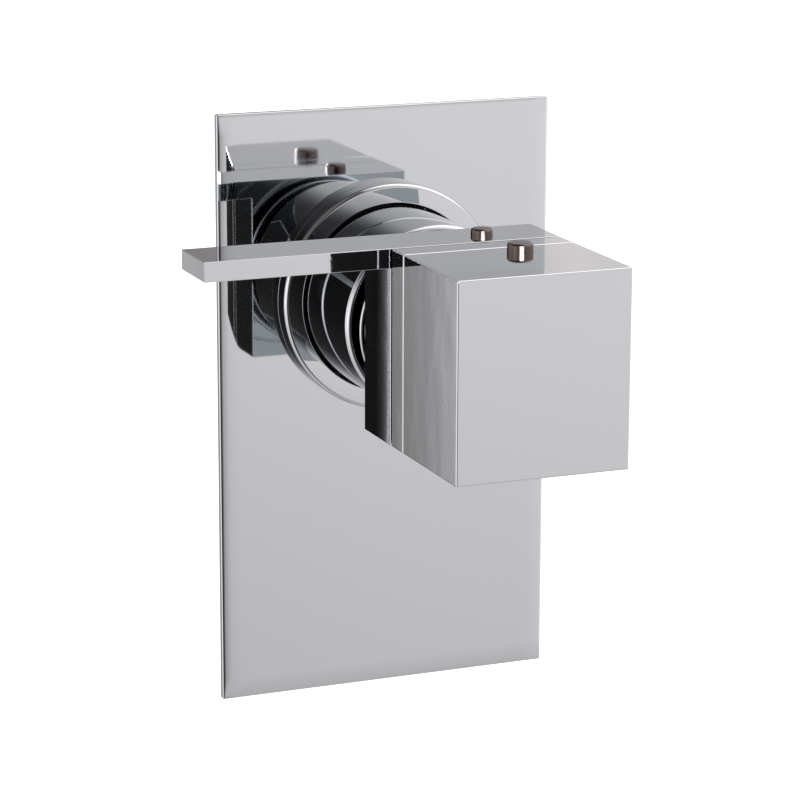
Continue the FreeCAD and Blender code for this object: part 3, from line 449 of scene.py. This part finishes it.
# %% Collar
AXIS_HEIGHT = sum(v.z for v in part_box("sleeve")) / 2
AXLE = Vector((0, 0, AXIS_HEIGHT))
sleeve_radius, sleeve_front, sleeve_rear = span("sleeve")
collar_radius, collar_front, collar_rear = span("collar")
seal_radius, seal_front, seal_rear = span("collar_seal")
BREAK = 0.3 * MM  # how much a plain corner is broken
FINE_BREAK = 0.2 * MM
SLOT = 0.8 * MM
COLLAR_ROUND = 1.4 * MM
COLLAR_LIP = 0.35 * MM
SEAL_PLAY = 0.04 * MM
SEAL_STANDOFF = 0.02 * MM
collar_profile = (
    (sleeve_radius + SLOT, collar_front, COLLAR_LIP),
    (collar_radius, collar_front, COLLAR_ROUND),
    (collar_radius, collar_rear, FINE_BREAK),
    (seal_radius + SEAL_PLAY, collar_rear, 0),
    (seal_radius + SEAL_PLAY, seal_front - SEAL_STANDOFF, 0),
    (sleeve_radius + SLOT, seal_front - SEAL_STANDOFF, 0),
)
show("collar", turned(collar_profile, AXLE, ALONG), "fixed", chrome, ["collar"])

# %% [markdown]
# The rubber ring sits in the dark slot between the collar and the sleeve. Only its lip shows, so its profile
# has a soft nose that leans on the sleeve.

# %% Collar seal
RUBBER_COLOR = (0.012, 0.012, 0.013, 1)
RUBBER_ROUGHNESS = 0.6
SEAL_LEAN = 0.03 * MM
SEAL_NOSE = 0.5 * MM
rubber = new_material("rubber", {"Base Color": RUBBER_COLOR, "Roughness": RUBBER_ROUGHNESS})[0]
seal_profile = (
    (sleeve_radius + SEAL_LEAN, seal_front, SEAL_NOSE),
    (seal_radius, seal_front, SEAL_NOSE),
    (seal_radius, seal_rear, BREAK),
    (sleeve_radius + SEAL_LEAN, seal_rear, BREAK),
)
show("collar_seal", turned(seal_profile, AXLE, ALONG), "fixed", rubber, ["collar_seal"])

# %% [markdown]
# The sleeve is a drawn tube whose front is turned in over the cartridge. The turned edge is generous, which
# gives the broad white ring of light round its front.

# %% Sleeve
SLEEVE_WALL = 1.6 * MM
SLEEVE_ROUND = 1.7 * MM
SLEEVE_FILLET = 1.0 * MM
SLEEVE_FLANGE = 2.4 * MM
SLEEVE_MOUTH = 22.0 * MM
sleeve_profile = (
    (SLEEVE_MOUTH, sleeve_front, BREAK),
    (sleeve_radius, sleeve_front, SLEEVE_ROUND),
    (sleeve_radius, sleeve_rear, BREAK),
    (sleeve_radius - SLEEVE_WALL, sleeve_rear, BREAK),
    (sleeve_radius - SLEEVE_WALL, sleeve_front + SLEEVE_FLANGE, SLEEVE_FILLET),
    (SLEEVE_MOUTH, sleeve_front + SLEEVE_FLANGE, BREAK),
)
show("sleeve", turned(sleeve_profile, AXLE, ALONG), "fixed", chrome, ["sleeve"])

# %% [markdown]
# The bearing cap closes the sleeve, and the lever's tube turns in it. Beside the lever its round side looks
# nearly black in the photograph, where plain chrome would mirror the sleeve's white edge. The reason can't be
# seen, so this is fitted and not derived: behind its front edge the cap's side gets a near-black tint, painted
# shade in the gap between sleeve and lever. Chosen by place within one material, it needs no second piece.

# %% Bearing cap
RUNNING = 0.06 * MM
CAP_PLAY = 0.03 * MM
CAP_ROUND = 0.6 * MM
EDGE_SHARE = 0.2 * MM  # how far the chrome goes on behind the rounded edge
# painted shade: the near-black tint of the cap's side, and the dimming of the cap's glancing reflections
PAINTED_SHADE_TINT = (0.02, 0.021, 0.022, 1.0)
PAINTED_SHADE_GRAZING = (0.3, 0.3, 0.3, 1.0)  # dims the glancing reflections too
cap_radius, cap_front, cap_rear = span("bearing_cap")
cap_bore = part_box("flow_extension")[1].x + RUNNING
cap_profile = (
    (cap_bore, cap_front, BREAK),
    (cap_radius, cap_front, CAP_ROUND),
    (cap_radius, sleeve_front, FINE_BREAK),
    (SLEEVE_MOUTH - CAP_PLAY, sleeve_front, 0),
    (SLEEVE_MOUTH - CAP_PLAY, cap_rear, BREAK),
    (cap_bore, cap_rear, BREAK),
)
show("bearing_cap", turned(cap_profile, AXLE, ALONG), "fixed", chrome_painted_shade, ["bearing_cap"])
cap_tree = chrome_painted_shade.node_tree
cap_shader = cap_tree.nodes["Principled BSDF"]
cap_place = add_node(cap_tree, "ShaderNodeSeparateXYZ")
cap_tree.links.new(object_place(cap_tree), cap_place.inputs[0])
# painted shade: behind its front edge the cap's side takes the near-black tint
in_painted_shade = math_node(cap_tree, "GREATER_THAN", cap_place.outputs["Y"], cap_front + CAP_ROUND + EDGE_SHARE)
plug(cap_tree, mix(cap_tree, "RGBA", CHROME_TINT, PAINTED_SHADE_TINT, in_painted_shade), cap_shader.inputs["Base Color"])
cap_shader.inputs["Specular Tint"].default_value = PAINTED_SHADE_GRAZING

# %% [markdown]
# ## Cutting and joining
# Holes and pockets are cut with Blender's exact Boolean, and its result is read back at once as a plain mesh,
# so no cutter stays in the scene. A few more shapes help: a box between two corners, a drum along an axis, and
# a way to pick the edges that are to be rounded.

# %% Solid shapes
DRUM_SIDES = 96


def block(low, high):
    """A box between two corners."""
    bm = bmesh.new()
    bmesh.ops.create_cube(bm, size=1.0)
    bmesh.ops.scale(bm, vec=high - low, verts=bm.verts)
    bmesh.ops.translate(bm, vec=(low + high) / 2, verts=bm.verts)
    return bm


def drum(radius, start, end, axis=ALONG, centre=(0, 0, 0)):
    """A round bar from start to end along an axis through a centre."""
    bm = bmesh.new()
    axis = Vector(axis)
    middle = Vector(centre) + axis * (start + end) / 2
    turn = Vector(UP).rotation_difference(axis).to_matrix().to_4x4()
    bmesh.ops.create_cone(bm, cap_ends=True, segments=DRUM_SIDES, radius1=radius, radius2=radius,
                          depth=abs(end - start), matrix=Matrix.Translation(middle) @ turn)
    return bm


def temporary(bm):
    """An object for one Boolean."""
    mesh = bpy.data.meshes.new("temporary")
    bm.to_mesh(mesh)
    bm.free()
    thing = bpy.data.objects.new("temporary", mesh)
    scene.collection.objects.link(thing)
    return thing


def combine(operation, bm, *tools):
    """Takes tools away from a mesh (DIFFERENCE) or joins them to it (UNION)."""
    base = temporary(bm)
    helpers = [temporary(tool) for tool in tools]
    for helper in helpers:
        step = base.modifiers.new("step", "BOOLEAN")
        step.operation = operation
        step.solver = "EXACT"
        step.object = helper
    shaped = bmesh.new()
    shaped.from_object(base, bpy.context.evaluated_depsgraph_get())
    for thing in [base] + helpers:
        mesh = thing.data
        bpy.data.objects.remove(thing)
        bpy.data.meshes.remove(mesh)
    return shaped


# %% [markdown]
# Which edges to round is said by where they lie, not by their numbers: a mesh numbers its edges anew after
# each step, but their places stay.

# %% Edges and faces
SAME = 1e-6  # metres within which two places are one
SAME_WAY = 0.999  # cosine above which two directions are one
BEVEL_STEPS = 5


def facing(bm, normal):
    """The faces of a mesh that look one way."""
    bm.normal_update()
    return [f for f in bm.faces if f.normal.dot(Vector(normal)) > SAME_WAY]


def edges_at(bm, test):
    """The edges whose two ends both meet a condition."""
    return [e for e in bm.edges if all(test(v.co) for v in e.verts)]


def near(a, b):
    """Whether two lengths are the same."""
    return abs(a - b) < SAME


def slice_at(bm, place, normal):
    """Draws an edge loop where a plane meets the mesh."""
    bmesh.ops.bisect_plane(bm, geom=bm.verts[:] + bm.edges[:] + bm.faces[:], dist=WELD,
                           plane_co=place, plane_no=normal)


def soften(bm, edges, width, segments=BEVEL_STEPS):
    """Rounds edges."""
    bmesh.ops.bevel(bm, geom=edges, offset=width, offset_type="OFFSET", segments=segments, profile=CIRCULAR,
                    affect="EDGES", material=-1)


# %% [markdown]
# ## The wall plate
# The plate is pressed from sheet and polished on a wheel, and both leave their mark near its edges: the face
# is flat in the middle and falls away by about a third of a millimetre over its last six and a half. That is
# too little to see as shape, but the mirror shows it at once: what stands in front of the plate is squeezed
# together along its border. So the front face is inset several times, and each ring of vertices is lowered
# along a curve. Behind, the plate is a shallow dish that holds its foam.

# %% Wall plate
OVER = 1.0 * MM  # how far a tool reaches past the face that it cuts or joins
EDGE_ROUND = 0.5 * MM
EDGE_STEPS = 6
CROWN_WIDTH = 6.5 * MM
CROWN_FALL = 0.36 * MM
CROWN_RINGS = (0.65, 0.5, 0.4, 0.45, 0.5, 0.55, 0.6, 0.65, 0.7, 0.75, 0.75)  # millimetres from ring to ring
CORNER_CUT = 7.2 * MM  # cuts beside the corners, so that each side is shaded by its own slope
PLATE_SKIN = 1.3 * MM
PLATE_RIM = 2.5 * MM
PLATE_HOLE = 33.0 * MM
HOLE_REACH = 5 * MM
plate_low, plate_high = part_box("wall_plate")


def from_edge(p):
    """How far a point of the plate's face lies inside its outline."""
    return min(p.x - plate_low.x, plate_high.x - p.x, p.z - plate_low.z, plate_high.z - p.z)


def at_corner(p):
    """Whether a point lies at one of the four corners of the plate's outline."""
    to_end = min(abs(p.z - plate_low.z), abs(p.z - plate_high.z))
    return near(abs(p.x), plate_high.x) and from_edge(p) < SAME and to_end < SAME


bm = block(plate_low, plate_high)
for corner, inward_way in ((plate_low, (1, 0, 0)), (plate_high, (-1, 0, 0)), (plate_low, (0, 0, 1)),
                           (plate_high, (0, 0, -1))):
    slice_at(bm, corner + Vector(inward_way) * CORNER_CUT, inward_way)
front = facing(bm, (0, -1, 0))
for ring in CROWN_RINGS:
    bmesh.ops.inset_region(bm, faces=front, thickness=ring * MM, use_even_offset=True)
for vert in bm.verts:
    if near(vert.co.y, plate_low.y):
        vert.co.y += CROWN_FALL * max(0.0, 1 - from_edge(vert.co) / CROWN_WIDTH) ** 2
rim = edges_at(bm, lambda p: p.y < -SAME and from_edge(p) < SAME)
soften(bm, list(set(rim + edges_at(bm, at_corner))), EDGE_ROUND, EDGE_STEPS)
inset = Vector((PLATE_RIM, 0, PLATE_RIM))
pocket = block(Vector((plate_low.x, plate_low.y + PLATE_SKIN, plate_low.z)) + inset,
               Vector((plate_high.x, OVER, plate_high.z)) - inset)
bm = combine("DIFFERENCE", bm, pocket, drum(PLATE_HOLE, -HOLE_REACH, HOLE_REACH, centre=AXLE))
show("wall_plate", bm, "fixed", chrome_plate, ["wall_plate"])

# %% [markdown]
# ## The handles
# Lever and knob are castings with the same square-cornered section, one behind the other. Both have a hole in
# the top for a stop button and one below for a set screw, so these cutters are made by functions. The places
# come from the frame, where the buttons and the screws have theirs.

# %% Handle section and holes
HANDLE_WALL = 3.0 * MM
FLANGE = 1.0 * MM
ACCESS = 2.6 * MM
ACCESS_PAST = 0.5 * MM
knob_low, knob_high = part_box("knob_shell")
side_low = Vector((knob_low.x, 0, knob_low.z))
side_high = Vector((knob_high.x, 0, knob_high.z))
wall = Vector((HANDLE_WALL, 0, HANDLE_WALL))


def between(low, high, front, rear):
    """A block of the handles' section, or of a section inside it, from front to rear."""
    return block(Vector((low.x, front, low.z)), Vector((high.x, rear, high.z)))


def middle_of(node):
    """The centre of a node's box."""
    low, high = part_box(node)
    return (low + high) / 2


def button_hole(node):
    """A cutter for the hole in a handle's top that a stop button's head fills."""
    low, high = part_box(node)
    middle = middle_of(node)
    head = (high.x - low.x) / 2 - FLANGE
    return drum(head + RUNNING, knob_high.z - 2 * HANDLE_WALL, knob_high.z + OVER, UP, (middle.x, middle.y, 0))


def screw_holes(node, thread_top):
    """Cutters for a set screw: the way in from below, and its thread up to the hub's bore."""
    low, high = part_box(node)
    middle = (0, (low.y + high.y) / 2, 0)
    return (drum(ACCESS, knob_low.z - OVER, knob_low.z + HANDLE_WALL + ACCESS_PAST, UP, middle),
            drum((high.x - low.x) / 2, knob_low.z, thread_top, UP, middle))


# %% [markdown]
# The flow lever's edges are barely broken before plating, by less than a millimetre, and each of those narrow
# roundings mirrors half the room: that is the thin white line along every edge. A bevel of five segments
# carries it. The flat bar grows out of the block's side, so it is extruded from that side's top strip, and no
# seam shows. The lever is a shallow tray whose open side faces the knob, with a hub in the middle that grips
# the flow spindle.

# %% Flow lever
LEVER_ROUND = 0.22 * MM
BAR_HEIGHT = 6.3 * MM
LEVER_GAP = 1.4 * MM
LEVER_FLOOR = 4.6 * MM
LEVER_HUB = 17.0 * MM
LEVER_HUB_DEPTH = 7.8 * MM
LEVER_BOSS = 20.0 * MM
BOSS_GAP = 0.3 * MM
FLAT = 0.01  # radians below which two faces are one
lever_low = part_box("flow_lever")[0]
lever_rear = cap_front - LEVER_GAP
floor_middle = lever_rear - LEVER_FLOOR / 2
bar_under = knob_high.z - BAR_HEIGHT
bm = between(side_low, side_high, lever_low.y, lever_rear)
slice_at(bm, (0, 0, bar_under), UP)
root = [f for f in facing(bm, (-1, 0, 0)) if f.calc_center_median().z > bar_under]
grown = bmesh.ops.extrude_face_region(bm, geom=root)
bmesh.ops.delete(bm, geom=root, context="FACES_ONLY")
tip = [v for v in grown["geom"] if isinstance(v, bmesh.types.BMVert)]
bmesh.ops.translate(bm, verts=tip, vec=(lever_low.x - knob_low.x, 0, 0))
bmesh.ops.dissolve_limit(bm, angle_limit=FLAT, verts=bm.verts[:], edges=bm.edges[:])
bmesh.ops.recalc_face_normals(bm, faces=bm.faces)
inner_corner = edges_at(bm, lambda p: near(p.x, knob_low.x) and near(p.z, bar_under))
soften(bm, [e for e in bm.edges if e not in inner_corner], LEVER_ROUND)
bm = combine("DIFFERENCE", bm, between(side_low + wall, side_high - wall, lever_low.y - OVER,
                                       lever_rear - LEVER_FLOOR))
bm = combine("UNION", bm, drum(LEVER_HUB, lever_rear - LEVER_HUB_DEPTH, floor_middle, centre=AXLE),
             drum(LEVER_BOSS, floor_middle, cap_front - BOSS_GAP, centre=AXLE))
bm = combine("DIFFERENCE", bm, drum(cap_bore - RUNNING, lever_low.y - OVER, cap_front, centre=AXLE),
             button_hole("flow_button"), *screw_holes("lever_set_screw", AXIS_HEIGHT - cap_bore))
lever_piece = show("flow_lever", bm, "lever", chrome_cast, ["flow_lever"])

# %% [markdown]
# The knob is cast in two halves: a carrier at the back, and the deep shell that is pushed over its lip. Four
# screws through posts in the corners hold them together. The carrier comes first: a frame with a web behind,
# the posts in its corners, and a wide bore for the fixed tube of the stops. The lip lies inside the shell, where
# nothing shows it, so the mesh leaves it out.

# %% Knob carrier
CARRIER_WEB = 3.0 * MM
CARRIER_BREAK = 0.15 * MM
CARRIER_ROUND = 0.45 * MM
CARRIER_PLAY = 1.0 * MM
POST = 3.6 * MM
POST_START = 0.02 * MM
HEAD = 2.75 * MM
HEAD_DEPTH = 1.8 * MM
SHANK = 1.5 * MM
knob_seam = knob_high.y
carrier_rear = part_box("knob_carrier")[1].y
carrier_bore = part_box("stop_tube")[1].x + CARRIER_PLAY
screws_low, screws_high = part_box("knob_screws")
posts = [Vector((x, 0, z)) for x in (screws_low.x + HEAD, screws_high.x - HEAD)
         for z in (screws_low.z + HEAD, screws_high.z - HEAD)]


def at_posts(radius, start, end):
    """A drum on the axis of each of the four posts."""
    return [drum(radius, start, end, centre=post) for post in posts]


bm = between(side_low, side_high, knob_seam, carrier_rear)
soften(bm, edges_at(bm, lambda p: near(p.y, carrier_rear)), CARRIER_BREAK)
sides = [e for e in bm.edges if min(v.co.y for v in e.verts) < carrier_rear - 2 * CARRIER_BREAK]
soften(bm, sides, CARRIER_ROUND)
bm = combine("DIFFERENCE", bm, between(side_low + wall, side_high - wall, knob_seam - OVER,
                                       carrier_rear - CARRIER_WEB))
bm = combine("UNION", bm, *at_posts(POST, knob_seam + POST_START, carrier_rear - CARRIER_WEB / 2))
bm = combine("DIFFERENCE", bm, drum(carrier_bore, knob_seam - OVER, carrier_rear + OVER, centre=AXLE),
             *at_posts(HEAD, screws_high.y - HEAD_DEPTH, carrier_rear + OVER),
             *at_posts(SHANK, knob_seam - OVER, carrier_rear))
show("knob_carrier", bm, "knob", chrome_cast, ["knob_carrier"])

# %% [markdown]
# The shell is the large front of the knob. Its rear edge has a chamfer, so the joint between the halves is a
# bright line all round. Inside, a hub grips the knob's spindle, and a rib below it holds the set screw.

# %% Knob shell
HANDLE_ROUND = 0.5 * MM
SEAM_CHAMFER = 0.9 * MM
KNOB_FRONT_WALL = 3.1 * MM
KNOB_HUB = 9.0 * MM
KNOB_HUB_LENGTH = 22.0 * MM
KNOB_RIB = Vector((5.0, 0, 16.0)) * MM
POST_END = 0.05 * MM
cavity_end = knob_low.y + KNOB_FRONT_WALL
hub_end = cavity_end + KNOB_HUB_LENGTH
bm = between(side_low, side_high, knob_low.y, knob_seam)
soften(bm, edges_at(bm, lambda p: near(p.y, knob_seam)), SEAM_CHAMFER, 1)
others = [e for e in bm.edges if min(v.co.y for v in e.verts) < knob_seam - SEAM_CHAMFER - SAME]
soften(bm, others, HANDLE_ROUND)
bm = combine("DIFFERENCE", bm, between(side_low + wall, side_high - wall, cavity_end, knob_seam + OVER))
bm = combine("UNION", bm, drum(KNOB_HUB, cavity_end - OVER, hub_end, centre=AXLE),
             block(AXLE - KNOB_RIB + Vector((0, cavity_end - OVER, 0)), AXLE + Vector((KNOB_RIB.x, hub_end, 0))),
             *at_posts(POST, cavity_end - OVER, knob_seam - POST_END))
bm = combine("DIFFERENCE", bm, drum(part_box("temp_extension")[1].x, cavity_end, knob_seam, centre=AXLE),
             button_hole("temp_button"), *screw_holes("knob_set_screw", AXIS_HEIGHT),
             *at_posts(SHANK, screws_low.y, knob_seam + OVER))
shell_piece = show("knob_shell", bm, "knob", chrome_cast, ["knob_shell"])

# %% [markdown]
# ## The stop buttons
# Two satin buttons on top release the stops. Each is a pin with a softly rounded head, wide enough for a
# fingertip, with a flange that keeps it in the handle and a thin stem below it. They are darker and browner
# than the chrome. As lathe parts they are spun from a profile, as the collar is, with fewer steps.

# %% Buttons
BUTTON_STEPS = 64
HEAD_ROUND = 1.0 * MM
STEM_RADIUS = 1.8 * MM


def button(node):
    """A stop button with its head, flange and stem, turned about its own axis."""
    low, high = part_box(node)
    centre = Vector(((low.x + high.x) / 2, (low.y + high.y) / 2, 0))
    flange_radius = (high.x - low.x) / 2
    head_radius = flange_radius - FLANGE
    seat = knob_high.z - HANDLE_WALL
    profile = (
        (0, high.z, 0),
        (head_radius, high.z, HEAD_ROUND),
        (head_radius, seat, 0),
        (flange_radius, seat, FINE_BREAK),
        (flange_radius, seat - FLANGE, FINE_BREAK),
        (STEM_RADIUS, seat - FLANGE, 0),
        (STEM_RADIUS, low.z, BREAK),
        (0, low.z, 0),
    )
    return show(node, turned(profile, centre, UP, BUTTON_STEPS), node, satin_nickel, [node])


button_pieces = [button("flow_button"), button("temp_button")]

# %% [markdown]
# A card in front draws one white line down each button. What leaves a button downwards meets the handle's top
# and goes up again, so the card hangs above the handles. In the dome it would show in every other mirror, so it
# is an area lamp that light linking restricts to the buttons and the handles.

# %% The buttons' card
CARD_PLACE = (math.radians(-12), math.radians(16))
CARD_AWAY = 3.0
CARD_WIDTH = 1.83
CARD_HEIGHT = 1.3
CARD_POWER = 110.0
lit = bpy.data.collections.new("lit")
for piece in (*button_pieces, lever_piece, shell_piece):
    lit.objects.link(piece)
card_data = bpy.data.lights.new("pin_card", "AREA")
card_data.shape = "RECTANGLE"
card_data.size = CARD_WIDTH
card_data.size_y = CARD_HEIGHT
card_data.energy = CARD_POWER
card = bpy.data.objects.new("pin_card", card_data)
toward = direction(*CARD_PLACE)
card.location = middle_of("temp_button") + toward * CARD_AWAY
card.rotation_euler = toward.to_track_quat("Z", "Y").to_euler()
scene.collection.objects.link(card)
card.light_linking.receiver_collection = lit

# %% [markdown]
# ## Everything behind the wall
# The rest keeps its CAD shape and gets a finish by the record's material slots. These pieces are cast, moulded or
# turned, and none of them is polished, so a tint, a roughness and a fine grain are enough.

# %% Finishes for the carried-over pieces
MOULD_GRAIN = 900.0
MOULD_BUMP = 0.3
MOULD_DEPTH = 0.1 * MM
METAL_SPREAD = (0.8, 1.2)  # shares of the roughness between which a metal wanders
FINISHES = {
    "foam": ("plastic", (0.10, 0.10, 0.105, 1), 0.95),
    "brass_cast": ("metal", (0.72, 0.52, 0.25, 1), 0.38),
    "brass": ("metal", (0.80, 0.60, 0.30, 1), 0.22),
    "steel": ("metal", (0.58, 0.58, 0.59, 1), 0.25),
    "zinc_steel": ("metal", (0.62, 0.63, 0.66, 1), 0.33),
    "hot_spring": ("metal", (0.5, 0.5, 0.51, 1), 0.25),
    "plastic_white": ("plastic", (0.80, 0.80, 0.77, 1), 0.4),
    "plastic_grey": ("plastic", (0.18, 0.19, 0.2, 1), 0.45),
    "plastic_black": ("plastic", (0.03, 0.03, 0.032, 1), 0.4),
    "ceramic": ("plastic", (0.88, 0.86, 0.82, 1), 0.2),
}
READY = {"chrome": chrome, "chrome_plate": chrome_plate, "chrome_buttons": satin_nickel, "rubber": rubber}


def plain(name, color, roughness):
    """A moulded surface with a fine bump."""
    material, tree, shader = new_material(name, {"Base Color": color, "Roughness": roughness})
    bend(tree, shader, noise(tree, object_place(tree), MOULD_GRAIN), MOULD_BUMP, MOULD_DEPTH)
    return material


for slot, (kind, color, roughness) in FINISHES.items():
    if kind == "metal":
        smooth, rough = (roughness * share for share in METAL_SPREAD)
        READY[slot] = metal(slot, color, smooth, rough, 2.0, wave=0.3, wave_size=1.5)
    else:
        READY[slot] = plain(slot, color, roughness)
for part in frame["record"]["subparts"]:
    node = frame["nodes"][part["node"]]
    if len(node.material_slots) == 0:
        node.data.materials.append(None)
    for holder in node.material_slots:
        holder.material = READY[part["material_slot"]]
print("finishes:", len(READY))

# %% [markdown]
# ## Sizes
# The imported solids' box is printed. A rounded edge takes a little away and a careless one adds something.

# %% Sizes
print("cad box", [round(v, 4) for v in cad_high - cad_low])
